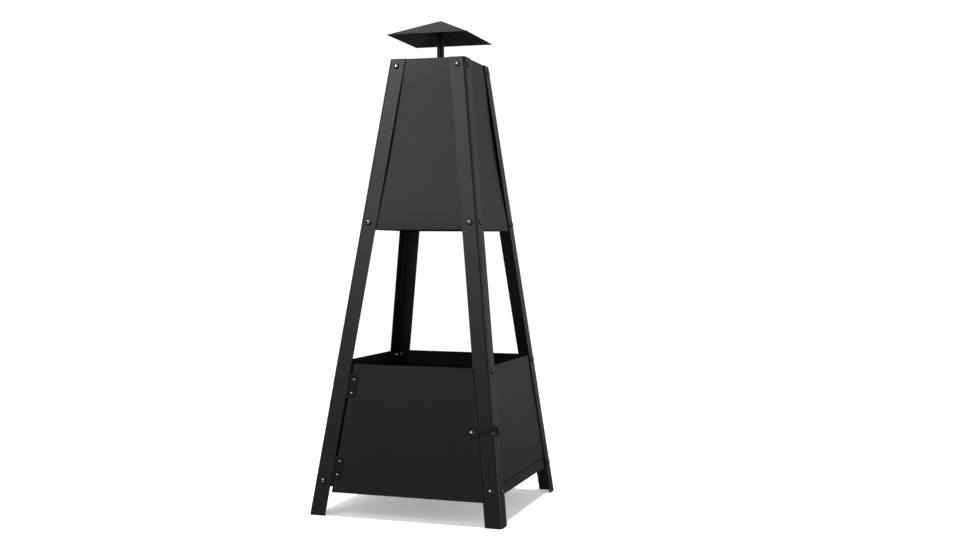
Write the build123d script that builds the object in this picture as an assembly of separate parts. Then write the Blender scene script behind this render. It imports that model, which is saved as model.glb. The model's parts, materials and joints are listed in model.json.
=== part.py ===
from build123d import *
import math
import os

# Steel garden chiminea: four folded-angle legs lean in towards the top and carry a tapered
# flue of four sheet panels, three lower panels, a hinged door, a base tray with a loose fire
# grate, and a pyramid rain cap on a post.
# Frame: millimetres, +Z up, door face towards -Y, origin on the ground under the centre.

# ---------------------------------------------------------------- driving dimensions
TOTAL_HEIGHT = 1000.0          # ground to cap apex
LEG_HEIGHT = 912.0             # ground to the legs' top ends
FOOT_HALF = 199.5              # half width over the outer leg corners at the ground
TOP_HALF = 80.5                # half width over the outer leg corners at the top

LEG_SHEET = 2.5
LEG_FLANGE = 34.0              # width of each flange of a leg
LEG_BEND_RADIUS = 6.5          # outside radius of the fold along a leg

PANEL_SHEET = 1.2
PANEL_CORNER_INSET = 6.5       # panel side edge, back from the outer corner line
UPPER_PANEL_BOTTOM = 566.0
UPPER_PANEL_TOP = 912.0
LOWER_PANEL_BOTTOM = 79.5
LOWER_PANEL_TOP = 301.5
EAR_INSET = 32.0               # inner edge of a lower panel's bolt ear, from the corner line

TRAY_BOTTOM = 57.0
TRAY_TOP = 77.0
TRAY_CORNER_INSET = 9.0        # relief at each corner of the folded tray

DOOR_SHEET = 1.5
DOOR_GAP = 0.5                 # back of the door to the face of the legs
DOOR_BOTTOM = 46.5
DOOR_TOP = 298.0
DOOR_HINGE_INSET = 40.5        # hinge-side edge, from the left corner line
DOOR_LATCH_INSET = 32.0        # latch-side edge, from the right corner line
DOOR_CORNER_RADIUS = 2.0

BOLT_INSET = 17.0              # bolt line at mid flange
BOLT_RADIUS = 3.0              # M6
BOLT_HOLE_RADIUS = 3.2
BOLT_LENGTH = 12.0
BOLT_HEAD_RADIUS = 6.0
BOLT_HEAD_HEIGHT = 3.8
RECESS_LENGTH = 6.4
RECESS_WIDTH = 1.3
RECESS_DEPTH = 1.8
NUT_ACROSS_FLATS = 10.0
NUT_HEIGHT = 5.0
NUT_BORE_RADIUS = 3.05
ROW_TOP = 896.5                # bolt rows, heights above the ground
ROW_MIDDLE = 579.5
ROW_FIREBOX = 291.5
ROW_BASE = 66.5

HINGE_HEIGHTS = {"upper": 255.0, "lower": 95.0}
HINGE_AXIS_INSET = 37.25       # hinge axis, from the left corner line
HINGE_AXIS_OUT = 1.0           # hinge axis in front of the face of the legs
HINGE_LENGTH = 44.0
HINGE_SHEET = 1.5
KNUCKLE_RADIUS = 2.5
FRAME_KNUCKLE_LENGTH = 14.0
KNUCKLE_GAP = 0.3
HINGE_PIN_RADIUS = 1.25
HINGE_PIN_HEAD_RADIUS = 2.2
HINGE_PIN_HEAD_HEIGHT = 1.0
RUNNING_CLEARANCE = 0.05
TIGHT_CLEARANCE = 0.01
DOOR_LEAF_WIDTH = 17.0
DOOR_LEAF_CORNER = 2.5
FRAME_LEAF_WIDTH = 19.0
FRAME_LEAF_LENGTH = 30.0
HINGE_RIVET_PITCH = 27.0
HINGE_RIVET_OUT = 9.5          # rivet line from the hinge axis
HINGE_RIVET_RADIUS = 1.6
HINGE_RIVET_HEAD_RADIUS = 3.3
HINGE_RIVET_HEAD_HEIGHT = 1.9
RIVET_TAIL_HEIGHT = 1.0

LATCH_INSET = 44.5             # latch pivot, from the right corner line
LATCH_HEIGHT = 175.7
LATCH_SHEET = 2.5
LATCH_LIFT = 0.3               # back of the lever off the face of the door
LATCH_ROOT_BACK = 6.5
LATCH_ROOT_FRONT = 15.0
LATCH_ROOT_LOW = -9.5
LATCH_ROOT_HIGH = 8.0
LATCH_ARM_LOW = -1.0
LATCH_ARM_HIGH = 7.0
PADDLE_START = 31.5
PADDLE_END = 56.5
PADDLE_HALF_HEIGHT = 10.5
PADDLE_EXTRA = 1.5             # how much thicker the paddle is than the arm
PADDLE_DISH_RADIUS = 22.0
PADDLE_DISH_DEPTH = 0.9
LATCH_RIVET_RADIUS = 2.5
LATCH_RIVET_HEAD_RADIUS = 5.0
LATCH_RIVET_HEAD_HEIGHT = 2.6
LATCH_RIVET_TAIL_RADIUS = 4.0
KEEPER_START = 17.0            # keeper span along the lever, from the latch pivot
KEEPER_END = 29.0
KEEPER_TOP = 9.0
KEEPER_SHEET = 1.5
KEEPER_LEDGE_OUT = 6.5

CAP_HALF = 86.5
CAP_RIM = 960.6
CAP_SHEET = 1.2
SOCKET_RADIUS = 10.5
SOCKET_BOTTOM = 970.0
SOCKET_DEPTH = 20.0
POST_RADIUS = 7.5
POST_END_GAP = 0.2
SPIGOT_RADIUS = 4.0
SPIGOT_LENGTH = 20.0
STRAP_SHEET = 2.0
STRAP_LEVEL = 882.0            # underside of the lower strap
STRAP_TAB_TOP = 905.0
STRAP_TAB_WIDTH = 20.0
STRAP_HOLE_RADIUS = 4.3
POST_WASHER_RADIUS = 8.0
POST_WASHER_HEIGHT = 1.6
POST_NUT_ACROSS_FLATS = 13.0
POST_NUT_HEIGHT = 6.5

GRATE_ROD_RADIUS = 4.0
GRATE_ROD_LENGTH = 270.0
GRATE_ROD_PITCH = 30.0
GRATE_ROD_COUNT = 9
GRATE_CARRIER_LENGTH = 262.0
GRATE_CARRIER_HEIGHT = 16.0
GRATE_CARRIER_THICK = 5.0
GRATE_CARRIER_HALF_SPACING = 95.0
GRATE_CARRIER_TOP = 96.0
GRATE_FOOT_HALF_SPACING = 110.0
GRATE_FOOT_WIDTH = 16.0
GRATE_ROD_CHAMFER = 0.8

# ---------------------------------------------------------------- derived dimensions
LEAN = math.atan((FOOT_HALF - TOP_HALF) / LEG_HEIGHT)       # lean of each face
EDGE_SLANT = math.degrees(math.atan(math.sin(LEAN)))        # slant of a corner line in its face
FRONT, RIGHT, REAR, LEFT = 0, 90, 180, 270                  # turns about +Z of the four faces
FACES = {"front": FRONT, "right": RIGHT, "rear": REAR, "left": LEFT}

PANEL_BACK = LEG_SHEET + PANEL_SHEET                        # depth behind the face of the legs
TRAY_FRONT_BACK = LEG_SHEET + PANEL_SHEET                   # no panel between leg and tray
TRAY_SIDE_BACK = LEG_SHEET + 2 * PANEL_SHEET
STRAP_TAB_BACK = PANEL_BACK + STRAP_SHEET
DOOR_FACE = DOOR_GAP + DOOR_SHEET


# ---------------------------------------------------------------- face coordinates
# On each face a point is (across, up, out): across from the centre line, up the slope from
# the ground line, and out along the outward normal from the outer face of the legs.
def up(height):
    """Slope distance of a height above the ground."""
    return height / math.cos(LEAN)


def half_width(height):
    """Half width over the outer corner lines at a height."""
    return FOOT_HALF - height * math.tan(LEAN)


def on_face(turn):
    """Location that carries (across, up, out) onto the face at this turn about +Z."""
    outward = (0, -math.cos(LEAN), math.sin(LEAN))
    front = Plane(origin=(0, -FOOT_HALF, 0), x_dir=(1, 0, 0), z_dir=outward)
    return Rotation(0, 0, turn) * front.location


def sheet(outline, out_low, out_high):
    """Flat plate from an outline, between two distances out from the face."""
    face = make_face(Polyline(*outline, close=True))
    return Pos(0, 0, out_low) * extrude(face, out_high - out_low)


def block(across, along, out):
    """Box between three pairs of limits."""
    low = Vector(across[0], along[0], out[0])
    high = Vector(across[1], along[1], out[1])
    size = high - low
    middle = (low + high) * 0.5
    return Pos(middle) * Box(size.X, size.Y, size.Z)


def rod(radius, low, high):
    """Cylinder about Z between two levels."""
    return Pos(0, 0, low) * Cylinder(radius, high - low, align=(Align.CENTER, Align.CENTER, Align.MIN))


def bolt_points(height):
    """The two bolt positions of a row on one face, as (across, up)."""
    across = half_width(height) - BOLT_INSET
    return [(-across, up(height)), (across, up(height))]


def drill_row(part, turn, height):
    """Cut the two bolt holes of a row on one face."""
    drill = rod(BOLT_HOLE_RADIUS, -20, 5)
    for across, slope in bolt_points(height):
        part -= on_face(turn) * Pos(across, slope, 0) * drill
    return part


# ---------------------------------------------------------------- frame and panels
def leg(corner_turn):
    """Folded angle leg. Turn 0 is the front right corner."""
    wall = LEG_SHEET / math.cos(LEAN)
    outer = FOOT_HALF
    points = [
        (outer, -outer),
        (outer, -outer + LEG_FLANGE),
        (outer - wall, -outer + LEG_FLANGE),
        (outer - wall, -outer + wall),
        (outer - LEG_FLANGE, -outer + wall),
        (outer - LEG_FLANGE, -outer),
    ]
    section = make_face(Polyline(*points, close=True))
    by_corner = section.vertices().sort_by_distance((outer, -outer, 0))
    section = fillet(by_corner[0], LEG_BEND_RADIUS)
    by_corner = section.vertices().sort_by_distance((outer - wall, -outer + wall, 0))
    section = fillet(by_corner[0], LEG_BEND_RADIUS - LEG_SHEET)
    rise = Vector(TOP_HALF - FOOT_HALF, FOOT_HALF - TOP_HALF, LEG_HEIGHT)
    part = extrude(section, amount=rise.length, dir=rise)
    part = Rotation(0, 0, corner_turn) * part
    for turn in (corner_turn, corner_turn + 90):
        rows = [ROW_TOP, ROW_MIDDLE, ROW_BASE]
        if turn % 360 != FRONT:
            rows.append(ROW_FIREBOX)
        for height in rows:
            part = drill_row(part, turn, height)
    return part


def upper_panel(turn):
    """Tapered flue panel behind the leg flanges."""
    low = half_width(UPPER_PANEL_BOTTOM) - PANEL_CORNER_INSET
    high = half_width(UPPER_PANEL_TOP) - PANEL_CORNER_INSET
    bottom = up(UPPER_PANEL_BOTTOM)
    top = up(UPPER_PANEL_TOP)
    outline = [(-low, bottom), (low, bottom), (high, top), (-high, top)]
    part = on_face(turn) * sheet(outline, -PANEL_BACK, -LEG_SHEET)
    part = drill_row(part, turn, ROW_TOP)
    return drill_row(part, turn, ROW_MIDDLE)


def lower_panel(turn):
    """Firebox panel whose two lower ears run down behind the legs to the base bolts."""
    ear_low = half_width(TRAY_BOTTOM) - PANEL_CORNER_INSET
    ear_bottom_inner = half_width(TRAY_BOTTOM) - EAR_INSET
    ear_top_inner = half_width(LOWER_PANEL_BOTTOM) - EAR_INSET
    high = half_width(LOWER_PANEL_TOP) - PANEL_CORNER_INSET
    right_side = [
        (ear_top_inner, up(LOWER_PANEL_BOTTOM)),
        (ear_bottom_inner, up(TRAY_BOTTOM)),
        (ear_low, up(TRAY_BOTTOM)),
        (high, up(LOWER_PANEL_TOP)),
    ]
    left_side = [(-across, slope) for across, slope in reversed(right_side)]
    part = on_face(turn) * sheet(right_side + left_side, -PANEL_BACK, -LEG_SHEET)
    part = drill_row(part, turn, ROW_FIREBOX)
    return drill_row(part, turn, ROW_BASE)


def base_tray():
    """Shallow ash pan with four up-turned walls bolted behind the legs."""
    part = Part()
    floor_reach = {}
    for turn in FACES.values():
        back = TRAY_FRONT_BACK if turn == FRONT else TRAY_SIDE_BACK
        low = half_width(TRAY_BOTTOM) - TRAY_CORNER_INSET
        high = half_width(TRAY_TOP) - TRAY_CORNER_INSET
        bottom = up(TRAY_BOTTOM)
        top = up(TRAY_TOP)
        outline = [(-low, bottom), (low, bottom), (high, top), (-high, top)]
        part += on_face(turn) * sheet(outline, -back, -back + PANEL_SHEET)
        floor_reach[turn] = half_width(TRAY_BOTTOM) - (back - 0.5 * PANEL_SHEET) / math.cos(LEAN)
    side = half_width(TRAY_BOTTOM) - TRAY_CORNER_INSET
    floor_levels = (TRAY_BOTTOM, TRAY_BOTTOM + PANEL_SHEET)
    part += block((-side, side), (-floor_reach[FRONT], floor_reach[REAR]), floor_levels)
    part += block((-floor_reach[LEFT], floor_reach[RIGHT]), (-side, side), floor_levels)
    under = block((-FOOT_HALF, FOOT_HALF), (-FOOT_HALF, FOOT_HALF), (0, TRAY_BOTTOM))
    part -= under
    for turn in FACES.values():
        part = drill_row(part, turn, ROW_BASE)
    return part


def grate_carriers():
    """Two flat bars on edge, each on two short feet, that stand loose in the tray."""
    floor = TRAY_BOTTOM + PANEL_SHEET
    half = 0.5 * GRATE_CARRIER_LENGTH
    levels = (GRATE_CARRIER_TOP - GRATE_CARRIER_HEIGHT, GRATE_CARRIER_TOP)
    carriers = []
    for side in (-1, 1):
        middle = side * GRATE_CARRIER_HALF_SPACING
        along = (middle - 0.5 * GRATE_CARRIER_THICK, middle + 0.5 * GRATE_CARRIER_THICK)
        carrier = block((-half, half), along, levels)
        for foot_side in (-1, 1):
            centre = foot_side * GRATE_FOOT_HALF_SPACING
            width = (centre - 0.5 * GRATE_FOOT_WIDTH, centre + 0.5 * GRATE_FOOT_WIDTH)
            carrier += block(width, along, (floor, GRATE_CARRIER_TOP))
        carriers.append(carrier)
    return carriers


def grate_rods():
    """Round rods welded across the carriers."""
    bar = Rotation(90, 0, 0) * Cylinder(GRATE_ROD_RADIUS, GRATE_ROD_LENGTH)
    bar = chamfer(bar.edges().filter_by(GeomType.CIRCLE), GRATE_ROD_CHAMFER)
    level = GRATE_CARRIER_TOP + GRATE_ROD_RADIUS
    rods = []
    for index in range(GRATE_ROD_COUNT):
        offset = (index - 0.5 * (GRATE_ROD_COUNT - 1)) * GRATE_ROD_PITCH
        rods.append(Pos(offset, 0, level) * bar)
    return rods


# ---------------------------------------------------------------- rain cap
def pyramid(half, base, apex):
    """Square pyramid standing on its base."""
    foot = Pos(0, 0, base) * Rectangle(2 * half, 2 * half)
    return loft([foot, Vertex(0, 0, apex)])


def rain_cap():
    """Sheet pyramid, open underneath, with a welded socket for the post."""
    slope = math.atan((TOTAL_HEIGHT - CAP_RIM) / CAP_HALF)
    drop = CAP_SHEET / math.cos(slope)
    outer = pyramid(CAP_HALF, CAP_RIM, TOTAL_HEIGHT)
    overrun = 5.0
    inner_half = (TOTAL_HEIGHT - drop - CAP_RIM + overrun) / math.tan(slope)
    inner = pyramid(inner_half, CAP_RIM - overrun, TOTAL_HEIGHT - drop)
    socket = rod(SOCKET_RADIUS, SOCKET_BOTTOM, TOTAL_HEIGHT) & outer
    bore = rod(POST_RADIUS + RUNNING_CLEARANCE, SOCKET_BOTTOM - 1, SOCKET_BOTTOM + SOCKET_DEPTH)
    return (outer - inner) + socket - bore


def cap_post():
    """Round post with a threaded spigot that passes through both straps."""
    shoulder = STRAP_LEVEL + 2 * STRAP_SHEET
    part = rod(POST_RADIUS, shoulder, SOCKET_BOTTOM + SOCKET_DEPTH - POST_END_GAP)
    return part + rod(SPIGOT_RADIUS, shoulder - SPIGOT_LENGTH, shoulder)


def cap_strap(hand, level):
    """Flat strap across the flue, bolted at a front corner and the opposite rear corner.

    Hand 1 runs from front left to rear right, and hand -1 from front right to rear left.
    """
    reach = half_width(level) - (STRAP_TAB_BACK - 0.5 * STRAP_SHEET) / math.cos(LEAN)
    across = half_width(ROW_TOP) - BOLT_INSET
    half = 0.5 * STRAP_TAB_WIDTH
    outline = [
        (-hand * across - half, -reach),
        (-hand * across + half, -reach),
        (hand * across + half, reach),
        (hand * across - half, reach),
    ]
    part = sheet(outline, level, level + STRAP_SHEET)
    for turn in (FRONT, REAR):
        middle = -hand * across
        low = up(level) - STRAP_TAB_BACK * math.tan(LEAN)
        width = (middle - half, middle + half)
        tab = block(width, (low, up(STRAP_TAB_TOP)), (-STRAP_TAB_BACK, -PANEL_BACK))
        tab = on_face(turn) * tab
        tab -= block((-FOOT_HALF, FOOT_HALF), (-FOOT_HALF, FOOT_HALF), (0, level))
        part += tab
        part = drill_row(part, turn, ROW_TOP)
    return part - rod(STRAP_HOLE_RADIUS, level - 1, level + STRAP_SHEET + 1)


def cap_post_washer():
    """Plain washer under the straps."""
    part = rod(POST_WASHER_RADIUS, STRAP_LEVEL - POST_WASHER_HEIGHT, STRAP_LEVEL)
    return part - rod(STRAP_HOLE_RADIUS, 0, STRAP_LEVEL + 1)


def hexagon_nut(across_flats, height, bore_radius):
    """Hexagon nut lying below Z 0, with its corners chamfered by a cone."""
    hexagon = RegularPolygon(0.5 * across_flats, 6, major_radius=False)
    part = extrude(hexagon, -height)
    chamfer_radius = 0.475 * across_flats
    reach = 0.7 * across_flats
    trim = Pos(0, 0, -0.5 * height) * Cylinder(reach, height)
    cone_height = (reach - chamfer_radius) * math.tan(math.radians(30))
    cone = Cone(reach, chamfer_radius, cone_height, align=(Align.CENTER, Align.CENTER, Align.MAX))
    body = Pos(0, 0, -0.5 * (height + cone_height)) * Cylinder(reach, height - cone_height)
    trim &= cone + body
    return (part & trim) - rod(bore_radius, -height - 1, 1)


def cap_post_nut():
    """Nut on the post's spigot."""
    top = STRAP_LEVEL - POST_WASHER_HEIGHT
    nut = hexagon_nut(POST_NUT_ACROSS_FLATS, POST_NUT_HEIGHT, SPIGOT_RADIUS + RUNNING_CLEARANCE)
    return Pos(0, 0, top - POST_NUT_HEIGHT) * Rotation(180, 0, 0) * nut


# ---------------------------------------------------------------- fasteners
def dome(radius, height):
    """Spherical dome standing on Z 0."""
    ball_radius = (radius * radius + height * height) / (2 * height)
    ball = Pos(0, 0, height - ball_radius) * Sphere(ball_radius)
    return ball & rod(radius, 0, height + 1)


def panel_bolt():
    """Round-head bolt with a cross recess; its head stands on Z 0."""
    part = dome(BOLT_HEAD_RADIUS, BOLT_HEAD_HEIGHT) + rod(BOLT_RADIUS, -BOLT_LENGTH, 0)
    for spin in (0, 90):
        slot = Box(RECESS_LENGTH, RECESS_WIDTH, 2 * RECESS_DEPTH)
        part -= Pos(0, 0, BOLT_HEAD_HEIGHT) * Rotation(0, 0, spin) * slot
    return part


def bolt_row(height, faces):
    """Every bolt of a row, head against the leg, each turned a little differently."""
    bolt = panel_bolt()
    bolts = []
    for name in faces:
        for number, (across, slope) in enumerate(bolt_points(height)):
            spin = 31 * number + 17 * FACES[name] / 90
            place = on_face(FACES[name]) * Pos(across, slope, 0) * Rotation(0, 0, spin)
            bolts.append(place * bolt)
    return bolts


def nut_row(height, backs):
    """Every nut of a row; backs gives each face's clamped depth."""
    nut = hexagon_nut(NUT_ACROSS_FLATS, NUT_HEIGHT, NUT_BORE_RADIUS)
    nuts = []
    for name, back in backs.items():
        for across, slope in bolt_points(height):
            place = on_face(FACES[name]) * Pos(across, slope, -back - NUT_HEIGHT)
            nuts.append(place * Rotation(180, 0, 0) * nut)
    return nuts


# ---------------------------------------------------------------- door, hinges and latch
def door_panel():
    """Flat door in front of the legs, slanted on both sides like the frame."""
    bottom = up(DOOR_BOTTOM)
    top = up(DOOR_TOP)
    outline = [
        (-half_width(DOOR_BOTTOM) + DOOR_HINGE_INSET, bottom),
        (half_width(DOOR_BOTTOM) - DOOR_LATCH_INSET, bottom),
        (half_width(DOOR_TOP) - DOOR_LATCH_INSET, top),
        (-half_width(DOOR_TOP) + DOOR_HINGE_INSET, top),
    ]
    face = make_face(Polyline(*outline, close=True))
    face = fillet(face.vertices(), DOOR_CORNER_RADIUS)
    part = on_face(FRONT) * Pos(0, 0, DOOR_GAP) * extrude(face, DOOR_SHEET)
    for height in HINGE_HEIGHTS.values():
        for offset in (-0.5, 0.5):
            drill = rod(HINGE_RIVET_RADIUS + TIGHT_CLEARANCE, -5, 10)
            part -= at_hinge(height) * Pos(HINGE_RIVET_OUT, offset * HINGE_RIVET_PITCH, 0) * drill
    return part - at_latch() * rod(LATCH_RIVET_RADIUS + TIGHT_CLEARANCE, -5, 10)


def at_hinge(height):
    """Hinge coordinates: X from the axis across the door, Y up the axis, Z out."""
    across = -half_width(height) + HINGE_AXIS_INSET
    return on_face(FRONT) * Pos(across, up(height), 0) * Rotation(0, 0, -EDGE_SLANT)


def rod_along_y(radius, low, high):
    """Cylinder on the hinge axis between two distances along it."""
    return Pos(0, 0.5 * (low + high), HINGE_AXIS_OUT) * Rotation(90, 0, 0) * Cylinder(radius, high - low)


def knuckle(low, high, bore_radius):
    """Barrel stretch of a hinge, along Y about the hinge axis."""
    return rod_along_y(KNUCKLE_RADIUS, low, high) - rod_along_y(bore_radius, low - 1, high + 1)


def hinge_door_leaf(height):
    """Leaf on the face of the door, with the two outer knuckles."""
    half = 0.5 * HINGE_LENGTH
    inner = 0.5 * FRAME_KNUCKLE_LENGTH + KNUCKLE_GAP
    levels = (DOOR_FACE, DOOR_FACE + HINGE_SHEET)
    clear = KNUCKLE_RADIUS + KNUCKLE_GAP
    leaf = block((clear, DOOR_LEAF_WIDTH), (-half, half), levels)
    leaf = fillet(leaf.edges().filter_by(Axis.Z).group_by(Axis.X)[-1], DOOR_LEAF_CORNER)
    for low, high in ((-half, -inner), (inner, half)):
        web = block((0, clear), (low, high), levels)
        leaf += web - rod_along_y(HINGE_PIN_RADIUS + RUNNING_CLEARANCE, low, high)
        leaf += knuckle(low, high, HINGE_PIN_RADIUS + RUNNING_CLEARANCE)
    for offset in (-0.5, 0.5):
        drill = rod(HINGE_RIVET_RADIUS + TIGHT_CLEARANCE, 0, 10)
        leaf -= Pos(HINGE_RIVET_OUT, offset * HINGE_RIVET_PITCH, 0) * drill
    return at_hinge(height) * leaf


def hinge_frame_leaf(height):
    """Cranked leaf that passes the edge of the leg and is welded behind its flange."""
    half = 0.5 * FRAME_KNUCKLE_LENGTH
    back = -LEG_SHEET - HINGE_SHEET
    web_x = (-KNUCKLE_RADIUS, -KNUCKLE_RADIUS + HINGE_SHEET)
    web = block(web_x, (-half, half), (back, HINGE_AXIS_OUT))
    foot_half = 0.5 * FRAME_LEAF_LENGTH
    foot_x = (-FRAME_LEAF_WIDTH, -KNUCKLE_RADIUS + HINGE_SHEET)
    foot = block(foot_x, (-foot_half, foot_half), (back, -LEG_SHEET))
    bore = HINGE_PIN_RADIUS + TIGHT_CLEARANCE
    leaf = web + foot - rod_along_y(bore, -half, half) + knuckle(-half, half, bore)
    return at_hinge(height) * leaf


def hinge_pin(height):
    """Pin with a flat head at each end."""
    half = 0.5 * HINGE_LENGTH + KNUCKLE_GAP
    pin = rod_along_y(HINGE_PIN_RADIUS, -half, half)
    for low in (-half - HINGE_PIN_HEAD_HEIGHT, half):
        pin += rod_along_y(HINGE_PIN_HEAD_RADIUS, low, low + HINGE_PIN_HEAD_HEIGHT)
    return at_hinge(height) * pin


def hinge_rivets():
    """Two rivets through each door leaf."""
    seat = DOOR_FACE + HINGE_SHEET
    head = Pos(0, 0, seat) * dome(HINGE_RIVET_HEAD_RADIUS, HINGE_RIVET_HEAD_HEIGHT)
    tail = rod(HINGE_RIVET_HEAD_RADIUS, DOOR_GAP - RIVET_TAIL_HEIGHT, DOOR_GAP)
    rivet = head + tail + rod(HINGE_RIVET_RADIUS, DOOR_GAP, seat)
    rivets = []
    for height in HINGE_HEIGHTS.values():
        for offset in (-0.5, 0.5):
            rivets.append(at_hinge(height) * Pos(HINGE_RIVET_OUT, offset * HINGE_RIVET_PITCH, 0) * rivet)
    return rivets


def at_latch():
    """Latch coordinates: X along the lever from its pivot, Y up across it, Z out."""
    across = half_width(LATCH_HEIGHT) - LATCH_INSET
    return on_face(FRONT) * Pos(across, up(LATCH_HEIGHT), 0) * Rotation(0, 0, EDGE_SLANT)


def rounded_plate(x_limits, y_limits, z_limits, radius):
    """Box with its four upright edges rounded."""
    return fillet(block(x_limits, y_limits, z_limits).edges().filter_by(Axis.Z), radius)


def latch_lever():
    """Flat lever with a broad root round the pivot and a dished thumb paddle at its end."""
    back = DOOR_FACE + LATCH_LIFT
    front = back + LATCH_SHEET
    root_x = (-LATCH_ROOT_BACK, LATCH_ROOT_FRONT)
    root_y = (LATCH_ROOT_LOW, LATCH_ROOT_HIGH)
    part = rounded_plate(root_x, root_y, (back, front), 4.0)
    part += block((0, PADDLE_START + 3), (LATCH_ARM_LOW, LATCH_ARM_HIGH), (back, front))
    paddle_y = (-PADDLE_HALF_HEIGHT, PADDLE_HALF_HEIGHT)
    paddle = rounded_plate((PADDLE_START, PADDLE_END), paddle_y, (back, front + PADDLE_EXTRA), 8.0)
    paddle_middle = 0.5 * (PADDLE_START + PADDLE_END)
    dish_level = front + PADDLE_EXTRA - PADDLE_DISH_DEPTH + PADDLE_DISH_RADIUS
    paddle -= Pos(paddle_middle, 0, dish_level) * Sphere(PADDLE_DISH_RADIUS)
    part += paddle
    part -= rod(LATCH_RIVET_RADIUS + RUNNING_CLEARANCE, 0, 20)
    return at_latch() * part


def latch_pivot_rivet():
    """Shouldered rivet that holds the lever to the door and lets it turn."""
    seat = DOOR_FACE + LATCH_LIFT + LATCH_SHEET + 2 * RUNNING_CLEARANCE
    part = Pos(0, 0, seat) * dome(LATCH_RIVET_HEAD_RADIUS, LATCH_RIVET_HEAD_HEIGHT)
    part += rod(LATCH_RIVET_RADIUS, DOOR_GAP, seat)
    part += rod(LATCH_RIVET_TAIL_RADIUS, DOOR_GAP - RIVET_TAIL_HEIGHT, DOOR_GAP)
    return at_latch() * part


def latch_keeper():
    """Bent catch welded to the right leg; the lever's arm lies on its ledge."""
    ledge_top = LATCH_ARM_LOW - KNUCKLE_GAP
    span = (KEEPER_START, KEEPER_END)
    part = block(span, (ledge_top - KEEPER_SHEET, KEEPER_TOP), (0, KEEPER_SHEET))
    part += block(span, (ledge_top - KEEPER_SHEET, ledge_top), (0, KEEPER_LEDGE_OUT))
    return at_latch() * part


# ---------------------------------------------------------------- assembly
def write(name, shape):
    """Write one node; a list is a group of separate solids."""
    if isinstance(shape, list):
        shape = Compound(children=shape)
    export_step(shape, f"parts/{name}.step")


def main():
    os.makedirs("parts", exist_ok=True)
    corners = {"front_right": 0, "rear_right": 90, "rear_left": 180, "front_left": 270}
    for name, turn in corners.items():
        write(f"leg_{name}", leg(turn))
    for name, turn in FACES.items():
        write(f"upper_panel_{name}", upper_panel(turn))
        if turn != FRONT:
            write(f"lower_panel_{name}", lower_panel(turn))
    write("base_tray", base_tray())
    write("fire_grate_carriers", grate_carriers())
    write("fire_grate_rods", grate_rods())

    write("rain_cap", rain_cap())
    write("cap_post", cap_post())
    write("cap_strap_lower", cap_strap(1, STRAP_LEVEL))
    write("cap_strap_upper", cap_strap(-1, STRAP_LEVEL + STRAP_SHEET))
    write("cap_post_washer", cap_post_washer())
    write("cap_post_nut", cap_post_nut())

    sides = ("right", "rear", "left")
    top_backs = {"front": STRAP_TAB_BACK, "right": PANEL_BACK, "rear": STRAP_TAB_BACK, "left": PANEL_BACK}
    middle_backs = {name: PANEL_BACK for name in FACES}
    firebox_backs = {name: PANEL_BACK for name in sides}
    base_backs = {"front": TRAY_FRONT_BACK, **{name: TRAY_SIDE_BACK for name in sides}}
    write("flue_top_bolts", bolt_row(ROW_TOP, FACES))
    write("flue_top_nuts", nut_row(ROW_TOP, top_backs))
    write("flue_lower_bolts", bolt_row(ROW_MIDDLE, FACES))
    write("flue_lower_nuts", nut_row(ROW_MIDDLE, middle_backs))
    write("firebox_bolts", bolt_row(ROW_FIREBOX, sides))
    write("firebox_nuts", nut_row(ROW_FIREBOX, firebox_backs))
    write("base_bolts", bolt_row(ROW_BASE, FACES))
    write("base_nuts", nut_row(ROW_BASE, base_backs))

    write("door_panel", door_panel())
    for name, height in HINGE_HEIGHTS.items():
        write(f"{name}_hinge_door_leaf", hinge_door_leaf(height))
        write(f"{name}_hinge_frame_leaf", hinge_frame_leaf(height))
        write(f"{name}_hinge_pin", hinge_pin(height))
    write("hinge_rivets", hinge_rivets())
    write("latch_lever", latch_lever())
    write("latch_pivot_rivet", latch_pivot_rivet())
    write("latch_keeper", latch_keeper())


main()
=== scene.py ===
import json
import math

import bmesh
import bpy
from mathutils import Matrix, Vector

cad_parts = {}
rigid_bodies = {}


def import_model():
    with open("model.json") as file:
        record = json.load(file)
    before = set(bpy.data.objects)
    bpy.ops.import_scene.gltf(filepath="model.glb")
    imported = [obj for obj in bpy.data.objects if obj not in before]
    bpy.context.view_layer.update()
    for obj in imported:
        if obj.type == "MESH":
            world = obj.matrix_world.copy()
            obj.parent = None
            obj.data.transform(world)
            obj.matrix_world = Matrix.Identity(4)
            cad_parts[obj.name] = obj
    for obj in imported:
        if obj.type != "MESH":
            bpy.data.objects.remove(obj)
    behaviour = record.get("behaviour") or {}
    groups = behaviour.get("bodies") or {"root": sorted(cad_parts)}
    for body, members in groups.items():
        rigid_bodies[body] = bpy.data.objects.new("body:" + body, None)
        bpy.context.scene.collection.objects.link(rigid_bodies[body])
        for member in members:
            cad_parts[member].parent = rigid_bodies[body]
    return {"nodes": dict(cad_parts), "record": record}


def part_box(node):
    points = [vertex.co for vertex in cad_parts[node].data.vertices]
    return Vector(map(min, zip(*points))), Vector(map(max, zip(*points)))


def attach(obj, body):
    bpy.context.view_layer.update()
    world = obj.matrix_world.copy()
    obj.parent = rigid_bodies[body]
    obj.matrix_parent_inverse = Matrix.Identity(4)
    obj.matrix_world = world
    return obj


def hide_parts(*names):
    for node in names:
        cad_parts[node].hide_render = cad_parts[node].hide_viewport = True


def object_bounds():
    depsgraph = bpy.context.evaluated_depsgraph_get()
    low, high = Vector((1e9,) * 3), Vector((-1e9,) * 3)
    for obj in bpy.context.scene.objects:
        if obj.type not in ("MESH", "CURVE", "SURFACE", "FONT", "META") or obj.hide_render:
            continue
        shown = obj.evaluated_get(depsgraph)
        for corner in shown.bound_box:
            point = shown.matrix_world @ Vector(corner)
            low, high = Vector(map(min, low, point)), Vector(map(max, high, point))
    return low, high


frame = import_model()
cad_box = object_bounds()

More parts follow.
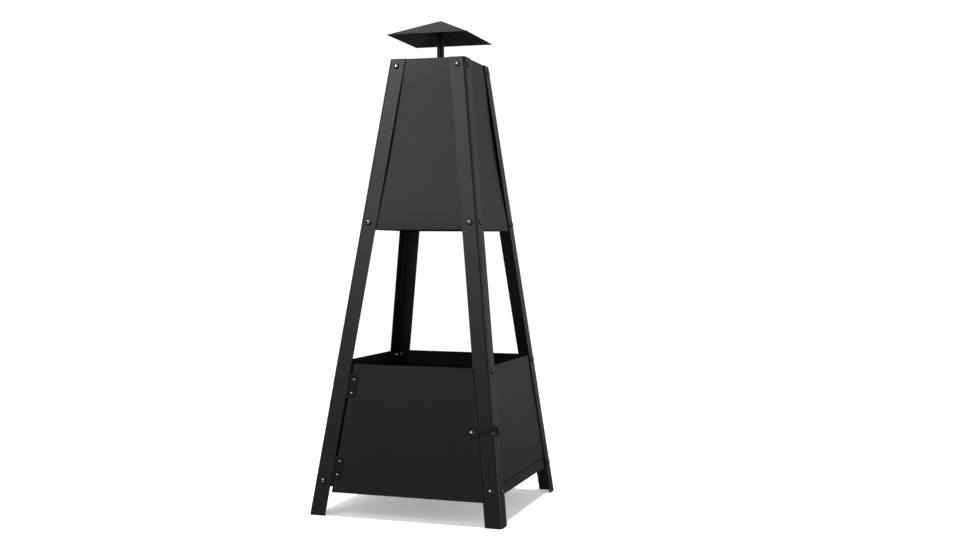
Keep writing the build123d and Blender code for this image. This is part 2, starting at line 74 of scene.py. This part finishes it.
# Steel garden chiminea, in metres, in the CAD frame: +Z up, door towards -Y, origin on the
# ground. The lower panels, door, tray, hinges, latch, post, straps and grate keep their CAD
# meshes, with softened edges. The legs, flue panels, rain cap and bolts are built here and stand
# for their CAD nodes. These legs and flue panels have no bolt holes: the bolts pass through them.

# ---------------------------------------------------------------- sizes
MM = 0.001
FLANGE = 34 * MM
LEG_SHEET = 2.5 * MM
FOLD_RADIUS = 6.5 * MM
FOLD_STEPS = 10
EDGE_SOFTENING = 0.35 * MM

BOLT_INSET = 17.0 * MM
BOLT_HEAD_RADIUS = 6.0 * MM
BOLT_HEAD_HEIGHT = 3.8 * MM
BOLT_RADIUS = 3.0 * MM
BOLT_LENGTH = 12.0 * MM
THREAD_PITCH = 1.0 * MM
THREAD_DEPTH = 0.45 * MM
THREAD_LENGTH = 8.0 * MM
RECESS_REACH = 3.3 * MM
RECESS_WIDTH = 1.4 * MM
RECESS_DEPTH = 1.9 * MM
RECESS_END_SLOPE = 1.6 * MM
RECESS_SIDE_SLOPE = 0.35 * MM
HEAD_RIM = 0.6 * MM
HEAD_FULLNESS = 2.3            # exponent of the dome, 2 is an ellipse
HEAD_RINGS = 22
HEAD_SEGMENTS = 64

PANEL_SHEET = 1.2 * MM
PANEL_CORNER_INSET = 6.5 * MM
PANEL_BOW = 3.0 * MM
BOW_BOTTOM = 590.0 * MM
BOW_TOP = 880.0 * MM

CAP_SHEET = 1.2 * MM
CAP_CREASE = 2.5 * MM
SOCKET_RADIUS = 10.5 * MM
SOCKET_WALL = 2.9 * MM
SOCKET_OVERLAP = 19.8 * MM     # of the socket down over the post
WELD_HEIGHT = 1.5 * MM
WELD_REACH = 1.2 * MM
WELD_SWELL = 1.0 * MM
WELD_SWELL_DROP = 0.8 * MM
SOCKET_END_RISE = 1.0 * MM

high_corner = cad_box[1]
FOOT_HALF = high_corner.x
APEX = high_corner.z
leg_low, leg_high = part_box("leg_front_right")
LEG_TOP = leg_high.z
TOP_HALF = leg_low.x + FLANGE
LEAN = math.atan((FOOT_HALF - TOP_HALF) / LEG_TOP)
TURNS = {"front": 0, "right": 90, "rear": 180, "left": 270}


# ---------------------------------------------------------------- places on the faces
def half_width(height):
    """Half width over the outer corner lines at a height."""
    return FOOT_HALF - height * math.tan(LEAN)


def on_face(turn, across, height, out):
    """Matrix from (across, up the slope, out) at a point of a face to the CAD frame."""
    tilt = Matrix.Rotation(math.pi / 2 - LEAN, 4, "X")
    point = Vector((across, -half_width(height), height))
    outward = Vector((0, -math.cos(LEAN), math.sin(LEAN)))
    local = Matrix.Translation(point + outward * out) @ tilt
    return Matrix.Rotation(math.radians(turn), 4, "Z") @ local


def row_points(node, faces):
    """Bolt places of a row, from the height of its CAD node, as matrices with Z outward."""
    lowest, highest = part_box(node)
    head_tilt = (BOLT_HEAD_HEIGHT - BOLT_LENGTH) / 2 * math.sin(LEAN)
    height = (lowest.z + highest.z) / 2 - head_tilt
    across = half_width(height) - BOLT_INSET
    places = []
    for name in faces:
        for side in (-1, 1):
            places.append(on_face(TURNS[name], side * across, height, 0))
    return places


# ---------------------------------------------------------------- mesh building
def piece(name, mesh, body, material, slot, *nodes):
    """Put a finished mesh in the scene, on its body, in place of its CAD nodes."""
    made = bpy.data.objects.new(name, mesh)
    bpy.context.scene.collection.objects.link(made)
    made.data.materials.append(material)
    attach(made, body)
    if nodes:
        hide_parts(*nodes)
    return made


def mesh_from(name, shape, smooth=True):
    """Turn a bmesh into a mesh with outward normals."""
    bmesh.ops.recalc_face_normals(shape, faces=shape.faces)
    mesh = bpy.data.meshes.new(name)
    shape.to_mesh(mesh)
    shape.free()
    for face in mesh.polygons:
        face.use_smooth = smooth
    return mesh


def soften(made, width=EDGE_SOFTENING, angle=30, segments=2):
    """Round a piece's hard edges slightly and keep its flats flat."""
    weld = made.modifiers.new("weld", "WELD")
    weld.merge_threshold = 0.002 * MM
    bevel = made.modifiers.new("edges", "BEVEL")
    bevel.width = width
    bevel.segments = segments
    bevel.limit_method = "ANGLE"
    bevel.angle_limit = math.radians(angle)
    bevel.use_clamp_overlap = True
    normals = made.modifiers.new("flats", "WEIGHTED_NORMAL")
    normals.keep_sharp = False
    return made


def revolve(shape, profile, segments=48, place=Matrix.Identity(4)):
    """Add a turned solid to a bmesh; profile is (radius, z) from one axis end to the other."""
    rings = []
    for radius, level in profile:
        if radius == 0:
            rings.append([shape.verts.new(place @ Vector((0, 0, level)))])
            continue
        ring = []
        for index in range(segments):
            angle = 2 * math.pi * index / segments
            point = Vector((radius * math.cos(angle), radius * math.sin(angle), level))
            ring.append(shape.verts.new(place @ point))
        rings.append(ring)
    for first, second in zip(rings, rings[1:]):
        for index in range(segments):
            following = (index + 1) % segments
            corners = []
            corners.append(first[index % len(first)])
            if len(first) > 1:
                corners.append(first[following])
            if len(second) > 1:
                corners.append(second[following])
            corners.append(second[index % len(second)])
            shape.faces.new(corners)


def arc(centre, radius, start, end, steps):
    """Points of an arc in degrees, ends included."""
    points = []
    for index in range(steps + 1):
        angle = math.radians(start + (end - start) * index / steps)
        points.append((centre[0] + radius * math.cos(angle), centre[1] + radius * math.sin(angle)))
    return points


# ---------------------------------------------------------------- materials
class Coat:
    """Small helper that wires a procedural material."""

    def __init__(self, name):
        self.material = bpy.data.materials.new(name)
        self.material.use_nodes = True
        self.nodes = self.material.node_tree.nodes
        self.links = self.material.node_tree.links
        self.shader = self.nodes["Principled BSDF"]
        self.place = self.add("ShaderNodeTexCoord").outputs["Object"]

    def add(self, kind, **settings):
        node = self.nodes.new(kind)
        for key, value in settings.items():
            setattr(node, key, value)
        return node

    def noise(self, scale, detail=2.0, roughness=0.5, stretch=None):
        texture = self.add("ShaderNodeTexNoise")
        texture.inputs["Scale"].default_value = scale
        texture.inputs["Detail"].default_value = detail
        texture.inputs["Roughness"].default_value = roughness
        source = self.place
        if stretch:
            mapping = self.add("ShaderNodeMapping")
            mapping.inputs["Scale"].default_value = stretch
            self.links.new(self.place, mapping.inputs["Vector"])
            source = mapping.outputs["Vector"]
        self.links.new(source, texture.inputs["Vector"])
        return texture.outputs["Fac"]

    def remap(self, value, from_low, from_high, to_low, to_high):
        node = self.add("ShaderNodeMapRange")
        for key, number in zip(
            ("From Min", "From Max", "To Min", "To Max"), (from_low, from_high, to_low, to_high)
        ):
            node.inputs[key].default_value = number
        self.links.new(value, node.inputs["Value"])
        return node.outputs["Result"]

    def mix(self, factor, first, second):
        node = self.add("ShaderNodeMix", data_type="RGBA")
        for socket, colour in ((node.inputs[6], first), (node.inputs[7], second)):
            if isinstance(colour, tuple):
                socket.default_value = (*colour, 1.0)
            else:
                self.links.new(colour, socket)
        self.links.new(factor, node.inputs[0])
        return node.outputs[2]

    def edges(self, radius, start, end):
        """1 along convex and concave edges, 0 on the flats."""
        bevel = self.add("ShaderNodeBevel", samples=6)
        bevel.inputs["Radius"].default_value = radius
        geometry = self.add("ShaderNodeNewGeometry")
        dot = self.add("ShaderNodeVectorMath", operation="DOT_PRODUCT")
        self.links.new(bevel.outputs["Normal"], dot.inputs[0])
        self.links.new(geometry.outputs["Normal"], dot.inputs[1])
        return self.remap(dot.outputs["Value"], start, end, 1.0, 0.0)

    def times(self, first, second):
        node = self.add("ShaderNodeMath", operation="MULTIPLY")
        self.links.new(first, node.inputs[0])
        self.links.new(second, node.inputs[1])
        return node.outputs["Value"]

    def bumps(self, *layers):
        """Each layer is (height, distance, strength)."""
        normal = None
        for height, distance, strength in layers:
            bump = self.add("ShaderNodeBump")
            bump.inputs["Distance"].default_value = distance
            bump.inputs["Strength"].default_value = strength
            self.links.new(height, bump.inputs["Height"])
            if normal:
                self.links.new(normal, bump.inputs["Normal"])
            normal = bump.outputs["Normal"]
        self.links.new(normal, self.shader.inputs["Normal"])


CLOUDING = 0.14                # how far the coat's colour wanders
RUBBED_GAIN = 2.6              # colour of a rubbed edge against the coat
RUBBED_LIFT = 0.012


def powder_coat(name, tint, roughness, specular, worn=0.5):
    """Satin black powder coat: fine grain, faint orange peel, a little rubbed at the edges."""
    coat = Coat(name)
    cloud = coat.noise(9.0, 4.0, 0.6)
    speck = coat.noise(1400.0, 1.0)
    dark = tuple((1 - CLOUDING) * level for level in tint)
    light = tuple((1 + CLOUDING) * level for level in tint)
    base = coat.mix(coat.remap(cloud, 0.3, 0.7, 0.0, 1.0), dark, light)
    edge = coat.edges(0.9 * MM, 0.80, 0.99)
    rub = coat.remap(coat.noise(160.0, 3.0, 0.7), 0.42, 0.62, 0.0, worn)
    rubbed = tuple(RUBBED_GAIN * level + RUBBED_LIFT for level in tint)
    colour = coat.mix(coat.times(edge, rub), base, rubbed)
    coat.links.new(colour, coat.shader.inputs["Base Color"])
    gloss = coat.remap(coat.noise(38.0, 3.0), 0.3, 0.7, roughness - 0.015, roughness + 0.02)
    coat.links.new(gloss, coat.shader.inputs["Roughness"])
    coat.shader.inputs["Specular IOR Level"].default_value = specular
    peel = coat.noise(420.0, 2.0)
    waves = coat.noise(7.0, 1.0)
    coat.bumps((waves, 0.6 * MM, 0.03), (peel, 0.05 * MM, 0.30), (speck, 0.02 * MM, 0.5))
    return coat.material


def plated_steel(name, tint, roughness, metallic=1.0):
    """Dark plated fastener steel with turning marks."""
    coat = Coat(name)
    cloud = coat.noise(120.0, 3.0, 0.6)
    dark = tuple(0.75 * level for level in tint)
    light = tuple(1.2 * level for level in tint)
    colour = coat.mix(coat.remap(cloud, 0.3, 0.7, 0.0, 1.0), dark, light)
    coat.links.new(colour, coat.shader.inputs["Base Color"])
    coat.shader.inputs["Metallic"].default_value = metallic
    gloss = coat.remap(coat.noise(700.0, 2.0), 0.3, 0.7, roughness - 0.06, roughness + 0.08)
    coat.links.new(gloss, coat.shader.inputs["Roughness"])
    coat.bumps((coat.noise(900.0, 1.0), 0.02 * MM, 0.4))
    return coat.material


MATERIALS = {
    "leg_steel": powder_coat("leg_coat", (0.0060, 0.0060, 0.0063), 0.37, 0.50),
    "panel_steel": powder_coat("panel_coat", (0.0060, 0.0060, 0.0063), 0.41, 0.42),
    "door_steel": powder_coat("door_coat", (0.0058, 0.0058, 0.0061), 0.41, 0.42),
    "tray_steel": powder_coat("tray_coat", (0.0065, 0.0065, 0.0068), 0.42, 0.42),
    "grate_steel": powder_coat("grate_coat", (0.0080, 0.0075, 0.0075), 0.60, 0.25),
    "cap_steel": powder_coat("cap_coat", (0.0060, 0.0060, 0.0063), 0.40, 0.42),
    "bracket_steel": powder_coat("bracket_coat", (0.0065, 0.0065, 0.0068), 0.45, 0.38),
    # The hinge coat is darker than the rest, as painted shade: the knuckles read as the black gap beside
    # the door.
    "hinge_steel": powder_coat("hinge_coat_gap_shade", (0.0036, 0.0036, 0.0038), 0.36, 0.30, 0.7),
    "latch_steel": powder_coat("latch_coat", (0.0035, 0.0035, 0.0037), 0.24, 0.60, 0.7),
    "bolt_black": plated_steel("bolt_black", (0.13, 0.13, 0.135), 0.19),
    "fastener_steel": plated_steel("dark_zinc", (0.16, 0.16, 0.165), 0.36),
}
ROUNDED = {"latch_lever": 1.1 * MM, "latch_keeper": 0.6 * MM}
SLOTS = {part["node"]: part["material_slot"] for part in frame["record"]["subparts"]}


def dress_cad_nodes():
    """Give every CAD node its finish and softened edges."""
    for name, node in frame["nodes"].items():
        node.data.materials.clear()
        node.data.materials.append(MATERIALS[SLOTS[name]])
        if name in ROUNDED:
            soften(node, ROUNDED[name], segments=4)
        else:
            soften(node)


# ---------------------------------------------------------------- legs
def leg_section():
    """Outline of a folded angle at the ground, for the front right corner."""
    wall = LEG_SHEET / math.cos(LEAN)
    outer = FOOT_HALF
    fold = FOLD_RADIUS
    outline = [(outer - FLANGE, -outer)]
    outline += arc((outer - fold, -outer + fold), fold, 270, 360, FOLD_STEPS)
    outline += [(outer, -outer + FLANGE), (outer - wall, -outer + FLANGE)]
    inner = fold - LEG_SHEET
    outline += arc((outer - wall - inner, -outer + wall + inner), inner, 360, 270, 4)
    outline += [(outer - FLANGE, -outer + wall)]
    return outline


def build_leg(corner, turn):
    """Loft the section from the ground to the top, leaning in both ways."""
    shape = bmesh.new()
    spin = Matrix.Rotation(math.radians(turn), 4, "Z")
    levels = 8
    rings = []
    for index in range(levels + 1):
        height = LEG_TOP * index / levels
        shift = height * math.tan(LEAN)
        ring = []
        for x, y in leg_section():
            ring.append(shape.verts.new(spin @ Vector((x - shift, y + shift, height))))
        rings.append(ring)
    count = len(rings[0])
    for lower, upper in zip(rings, rings[1:]):
        for index in range(count):
            following = (index + 1) % count
            shape.faces.new((lower[index], lower[following], upper[following], upper[index]))
    shape.faces.new(rings[0])
    shape.faces.new(rings[-1])
    node = f"leg_{corner}"
    mesh = mesh_from(f"{node}_folded", shape)
    made = piece(f"{node}_folded", mesh, "root", MATERIALS["leg_steel"], "leg_steel", node)
    soften(made, angle=50)


# ---------------------------------------------------------------- flue panels
def bow(height):
    """How far a flue panel bows in between its two bolt rows."""
    along = (height - BOW_BOTTOM) / (BOW_TOP - BOW_BOTTOM)
    return PANEL_BOW * math.sin(math.pi * max(0.0, min(1.0, along)))


def build_flue_panel(face, turn):
    """Sheet held at its four bolts and bowed in a little between them."""
    node = f"upper_panel_{face}"
    lowest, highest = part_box(node)
    bottom = lowest.z + (LEG_SHEET + PANEL_SHEET) * math.sin(LEAN)
    rows = 28
    columns = 12
    shape = bmesh.new()
    skins = []
    for depth in (LEG_SHEET, LEG_SHEET + PANEL_SHEET):
        grid = []
        for row in range(rows + 1):
            height = bottom + (LEG_TOP - bottom) * row / rows
            reach = half_width(height) - PANEL_CORNER_INSET - bow(height)
            line = []
            for column in range(columns + 1):
                across = reach * (2 * column / columns - 1)
                place = on_face(turn, across, height, -depth - bow(height))
                line.append(shape.verts.new(place.translation))
            grid.append(line)
        skins.append(grid)
    outer, inner = skins
    for grid in skins:
        for row in range(rows):
            for column in range(columns):
                shape.faces.new((grid[row][column], grid[row][column + 1],
                                 grid[row + 1][column + 1], grid[row + 1][column]))
    rims = [[(row, 0) for row in range(rows + 1)], [(row, columns) for row in range(rows + 1)]]
    rims.append([(0, column) for column in range(columns + 1)])
    rims.append([(rows, column) for column in range(columns + 1)])
    for rim in rims:
        for first, second in zip(rim, rim[1:]):
            shape.faces.new((outer[first[0]][first[1]], outer[second[0]][second[1]],
                             inner[second[0]][second[1]], inner[first[0]][first[1]]))
    mesh = mesh_from(f"{node}_bowed", shape)
    made = piece(f"{node}_bowed", mesh, "root", MATERIALS["panel_steel"], "panel_steel", node)
    soften(made, angle=50)


# ---------------------------------------------------------------- bolts
def recess(x, y):
    """Depth of the pressed cross recess at a point of a bolt head."""
    reach = max(abs(x), abs(y))
    narrow = min(abs(x), abs(y))
    length_fall = max(0.0, min(1.0, (RECESS_REACH - reach) / RECESS_END_SLOPE))
    inside = (RECESS_WIDTH / 2 - narrow) / RECESS_SIDE_SLOPE
    width_fall = max(0.0, min(1.0, inside + 0.5))
    return RECESS_DEPTH * math.sin(math.pi / 2 * length_fall) * width_fall


def bolt_head(shape, place):
    """Domed head with a rounded rim and a cross recess, standing on Z 0."""
    flat = BOLT_HEAD_HEIGHT - HEAD_RIM
    top = shape.verts.new(place @ Vector((0, 0, BOLT_HEAD_HEIGHT - RECESS_DEPTH)))
    previous = [top]
    for index in range(1, HEAD_RINGS + 1):
        radius = BOLT_HEAD_RADIUS * index / HEAD_RINGS
        fall = (radius / BOLT_HEAD_RADIUS) ** HEAD_FULLNESS
        level = HEAD_RIM + flat * math.sqrt(max(0.0, 1 - fall))
        ring = []
        for step in range(HEAD_SEGMENTS):
            angle = 2 * math.pi * step / HEAD_SEGMENTS
            x = radius * math.cos(angle)
            y = radius * math.sin(angle)
            ring.append(shape.verts.new(place @ Vector((x, y, level - recess(x, y)))))
        for step in range(HEAD_SEGMENTS):
            following = (step + 1) % HEAD_SEGMENTS
            corners = [previous[step % len(previous)], ring[step], ring[following]]
            if len(previous) > 1:
                corners.append(previous[following])
            shape.faces.new(corners)
        previous = ring
    lower = []
    centre = shape.verts.new(place @ Vector((0, 0, 0)))
    for vertex in previous:
        local = place.inverted() @ vertex.co
        local.z = 0
        lower.append(shape.verts.new(place @ local))
    for step in range(HEAD_SEGMENTS):
        following = (step + 1) % HEAD_SEGMENTS
        shape.faces.new((previous[step], lower[step], lower[following], previous[following]))
        shape.faces.new((lower[step], centre, lower[following]))


def bolt_shank(shape, place):
    """Threaded shank below Z 0, closed at both ends."""
    profile = [(0, 0), (BOLT_RADIUS, 0), (BOLT_RADIUS, -BOLT_LENGTH + THREAD_LENGTH)]
    turns = int(THREAD_LENGTH / THREAD_PITCH)
    for index in range(turns):
        crest = -BOLT_LENGTH + THREAD_LENGTH - index * THREAD_PITCH
        profile.append((BOLT_RADIUS - THREAD_DEPTH, crest - 0.5 * THREAD_PITCH))
        if index < turns - 1:
            profile.append((BOLT_RADIUS, crest - THREAD_PITCH))
    profile.append((BOLT_RADIUS - 1.5 * THREAD_DEPTH, -BOLT_LENGTH))
    profile.append((0, -BOLT_LENGTH))
    revolve(shape, profile, 24, place)


def build_bolts(node, faces):
    """All bolts of one row, in place of their CAD node."""
    shape = bmesh.new()
    for number, place in enumerate(row_points(node, faces)):
        spin = Matrix.Rotation(math.radians(37 * number + 11), 4, "Z")
        bolt_head(shape, place @ spin)
        bolt_shank(shape, place @ spin)
    mesh = mesh_from(f"{node}_turned", shape)
    piece(f"{node}_turned", mesh, "root", MATERIALS["bolt_black"], "bolt_black", node)


# ---------------------------------------------------------------- rain cap
def build_cap():
    """Folded sheet pyramid with rounded creases, open underneath, and its welded socket."""
    rim_low, rim_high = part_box("rain_cap")
    half = rim_high.x
    slope = (APEX - rim_low.z) / half
    shape = bmesh.new()
    per_side = 16
    ring_count = 20

    def ring(reach, level):
        """Square ring with rounded corners."""
        corner = min(CAP_CREASE, 0.6 * reach)
        points = []
        for quarter in range(4):
            centre = Matrix.Rotation(math.pi / 2 * quarter, 2) @ Vector((reach - corner, -reach + corner))
            for index in range(7):
                angle = math.radians(-90 + 90 * quarter + 15 * index)
                points.append(centre + Vector((math.cos(angle), math.sin(angle))) * corner)
            start = points[-1]
            end = Matrix.Rotation(math.pi / 2 * (quarter + 1), 2) @ Vector((reach - corner, -reach))
            for index in range(1, per_side):
                points.append(start.lerp(end, index / per_side))
        return [shape.verts.new(Vector((point.x, point.y, level))) for point in points]

    def skin(drop, outer_reach):
        """One face of the sheet, apex first."""
        rings = []
        for index in range(1, ring_count + 1):
            reach = outer_reach * (index / ring_count) ** 1.3
            blunt = 0.25 * CAP_CREASE * math.exp(-reach / (2 * CAP_CREASE))
            rings.append(ring(reach, APEX - drop - slope * reach - blunt))
        tip = shape.verts.new(Vector((0, 0, APEX - drop - 0.25 * CAP_CREASE)))
        count = len(rings[0])
        for index in range(count):
            shape.faces.new((tip, rings[0][index], rings[0][(index + 1) % count]))
        for inner, outer in zip(rings, rings[1:]):
            for index in range(count):
                following = (index + 1) % count
                shape.faces.new((inner[index], outer[index], outer[following], inner[following]))
        return rings[-1]

    drop = CAP_SHEET * math.sqrt(1 + slope * slope)
    outer_rim = skin(0, half)
    inner_rim = skin(drop, half - drop / slope)
    count = len(outer_rim)
    for index in range(count):
        following = (index + 1) % count
        shape.faces.new((outer_rim[index], inner_rim[index], inner_rim[following], outer_rim[following]))
    mesh = mesh_from("rain_cap_folded", shape)
    cap = piece("rain_cap_folded", mesh, "root", MATERIALS["cap_steel"], "cap_steel", "rain_cap")
    soften(cap, 0.3 * MM, 40)

    post_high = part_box("cap_post")[1]
    socket_low = post_high.z - SOCKET_OVERLAP
    bore = SOCKET_RADIUS - SOCKET_WALL
    meeting = APEX - drop - slope * SOCKET_RADIUS
    shape = bmesh.new()
    profile = [
        (bore, socket_low),
        (SOCKET_RADIUS, socket_low),
        (SOCKET_RADIUS, meeting - WELD_HEIGHT),
        (SOCKET_RADIUS + WELD_SWELL, meeting - WELD_SWELL_DROP),
        (SOCKET_RADIUS + WELD_REACH, meeting),
        (bore, meeting + SOCKET_END_RISE),
        (bore, socket_low),
    ]
    revolve(shape, profile)
    bmesh.ops.remove_doubles(shape, verts=shape.verts, dist=1e-7)
    mesh = mesh_from("cap_socket", shape)
    socket = piece("cap_socket", mesh, "root", MATERIALS["cap_steel"], "cap_steel")
    soften(socket, 0.25 * MM)


# ---------------------------------------------------------------- stage
CAMERA_AZIMUTH = 19.76         # of the camera round the object, from the front
CAMERA_RADIUS = 2.531          # from the centre line, level
CAMERA_HEIGHT = 0.530
HEADING = 17.376
PITCH = -1.197
ROLL = 0.359
LENS = 44.68
SENSOR = 36.0
FLOOR_RADIUS = 2.2
FLOOR_GLOW = 0.36
AMBIENT = 0.35                 # world light on rough surfaces
REFLECTED_LOW = 0.10           # world as seen in reflections, low down
REFLECTED_HIGH = 0.30          # and high up
BACKDROP = 1.1


def build_camera():
    """Camera at the object's own viewing angle."""
    data = bpy.data.cameras.new("camera")
    data.lens = LENS
    data.sensor_width = SENSOR
    camera = bpy.data.objects.new("camera", data)
    bpy.context.scene.collection.objects.link(camera)
    azimuth = math.radians(CAMERA_AZIMUTH)
    x = CAMERA_RADIUS * math.sin(azimuth)
    y = -CAMERA_RADIUS * math.cos(azimuth)
    place = Vector((x, y, CAMERA_HEIGHT))
    turn = Matrix.Rotation(math.radians(HEADING), 4, "Z")
    tip = Matrix.Rotation(math.radians(90 + PITCH), 4, "X")
    roll = Matrix.Rotation(math.radians(ROLL), 4, "Z")
    camera.matrix_world = Matrix.Translation(place) @ turn @ tip @ roll
    bpy.context.scene.camera = camera


def build_floor():
    """Round pale floor."""
    shape = bmesh.new()
    bmesh.ops.create_circle(shape, cap_ends=True, segments=96, radius=FLOOR_RADIUS)
    floor = bpy.data.objects.new("floor", mesh_from("floor", shape))
    bpy.context.scene.collection.objects.link(floor)
    coat = Coat("pale_floor")
    pale = coat.mix(coat.noise(3.0, 3.0), (0.86, 0.86, 0.86), (0.90, 0.90, 0.90))
    coat.links.new(pale, coat.shader.inputs["Base Color"])
    coat.shader.inputs["Roughness"].default_value = 0.9
    coat.shader.inputs["Specular IOR Level"].default_value = 0.1
    coat.shader.inputs["Emission Color"].default_value = (1, 1, 1, 1)
    coat.shader.inputs["Emission Strength"].default_value = FLOOR_GLOW
    floor.data.materials.append(coat.material)
    floor.visible_glossy = False


def build_world():
    """Studio surroundings: white behind the object, even on rough surfaces, dim in reflections."""
    world = bpy.data.worlds.new("studio")
    bpy.context.scene.world = world
    world.use_nodes = True
    nodes = world.node_tree.nodes
    links = world.node_tree.links
    nodes.clear()

    def background(strength):
        node = nodes.new("ShaderNodeBackground")
        node.inputs["Color"].default_value = (1, 1, 1, 1)
        node.inputs["Strength"].default_value = strength
        return node

    def choose(factor, first, second):
        node = nodes.new("ShaderNodeMixShader")
        links.new(factor, node.inputs["Fac"])
        links.new(first, node.inputs[1])
        links.new(second, node.inputs[2])
        return node.outputs["Shader"]

    place = nodes.new("ShaderNodeTexCoord")
    split = nodes.new("ShaderNodeSeparateXYZ")
    links.new(place.outputs["Generated"], split.inputs["Vector"])
    height = nodes.new("ShaderNodeMapRange")
    height.inputs["From Min"].default_value = -0.15
    height.inputs["From Max"].default_value = 0.45
    height.inputs["To Min"].default_value = REFLECTED_LOW
    height.inputs["To Max"].default_value = REFLECTED_HIGH
    links.new(split.outputs["Z"], height.inputs["Value"])
    reflected = background(1.0)
    links.new(height.outputs["Result"], reflected.inputs["Strength"])
    path = nodes.new("ShaderNodeLightPath")
    even = background(AMBIENT)
    light = choose(path.outputs["Is Glossy Ray"], even.outputs[0], reflected.outputs[0])
    white = background(BACKDROP)
    seen = choose(path.outputs["Is Camera Ray"], light, white.outputs[0])
    output = nodes.new("ShaderNodeOutputWorld")
    links.new(seen, output.inputs["Surface"])


def around(azimuth, elevation, distance, height=0.5):
    """Place at an azimuth from the front, seen from the object's middle."""
    level = distance * math.cos(math.radians(elevation))
    x = level * math.sin(math.radians(azimuth))
    y = -level * math.cos(math.radians(azimuth))
    return Vector((x, y, height + distance * math.sin(math.radians(elevation))))


def soft_box(name, azimuth, elevation, distance, width, height, radiance):
    """Rectangular soft box facing the object's middle."""
    data = bpy.data.lights.new(name, "AREA")
    data.shape = "RECTANGLE"
    data.size = width
    data.size_y = height
    data.energy = radiance * math.pi * width * height
    light = bpy.data.objects.new(name, data)
    bpy.context.scene.collection.objects.link(light)
    place = around(azimuth, elevation, distance)
    light.location = place
    light.rotation_mode = "QUATERNION"
    light.rotation_quaternion = (Vector((0, 0, 0.5)) - place).to_track_quat("-Z", "Y")
    light.visible_camera = False
    return light


def only_on_fasteners(light):
    """Let a light reach the bolts and rivets alone, for their bright points."""
    fasteners = bpy.data.collections.new("fasteners")
    for made in bpy.context.scene.objects:
        if "bolts" in made.name or "rivet" in made.name:
            fasteners.objects.link(made)
    light.light_linking.receiver_collection = fasteners


def build_stage():
    """Camera, floor and soft studio light."""
    build_camera()
    build_floor()
    build_world()
    overhead = soft_box(
        "overhead", azimuth=0, elevation=90, distance=11.5,
        width=1.8, height=1.8, radiance=98.0,
    )
    overhead.visible_glossy = False
    soft_box(
        "key", azimuth=-25, elevation=28, distance=2.6,
        width=1.9, height=1.6, radiance=1.5,
    )
    soft_box(
        "sparkle", azimuth=-32, elevation=38, distance=2.6,
        width=0.26, height=0.26, radiance=36.0,
    )
    glint = soft_box(
        "glint", azimuth=-30, elevation=34, distance=2.6,
        width=0.6, height=0.6, radiance=75.0,
    )
    only_on_fasteners(glint)
    soft_box(
        "right_strip", azimuth=92, elevation=6, distance=2.4,
        width=0.6, height=2.2, radiance=3.0,
    )
    soft_box(
        "rear_right", azimuth=150, elevation=9, distance=2.6,
        width=1.1, height=1.9, radiance=0.29,
    )
    soft_box(
        "rear_left", azimuth=-115, elevation=20, distance=2.6,
        width=1.3, height=1.3, radiance=1.5,
    )
    soft_box(
        "back", azimuth=196, elevation=26, distance=2.6,
        width=1.4, height=1.3, radiance=1.1,
    )
    bpy.context.scene.view_settings.view_transform = "Standard"


# ---------------------------------------------------------------- assembly
dress_cad_nodes()
CORNERS = {"front_right": 0, "rear_right": 90, "rear_left": 180, "front_left": 270}
for corner, turn in CORNERS.items():
    build_leg(corner, turn)
for face, turn in TURNS.items():
    build_flue_panel(face, turn)
sides = ("right", "rear", "left")
build_bolts("flue_top_bolts", TURNS)
build_bolts("flue_lower_bolts", TURNS)
build_bolts("firebox_bolts", sides)
build_bolts("base_bolts", TURNS)
build_cap()
build_stage()
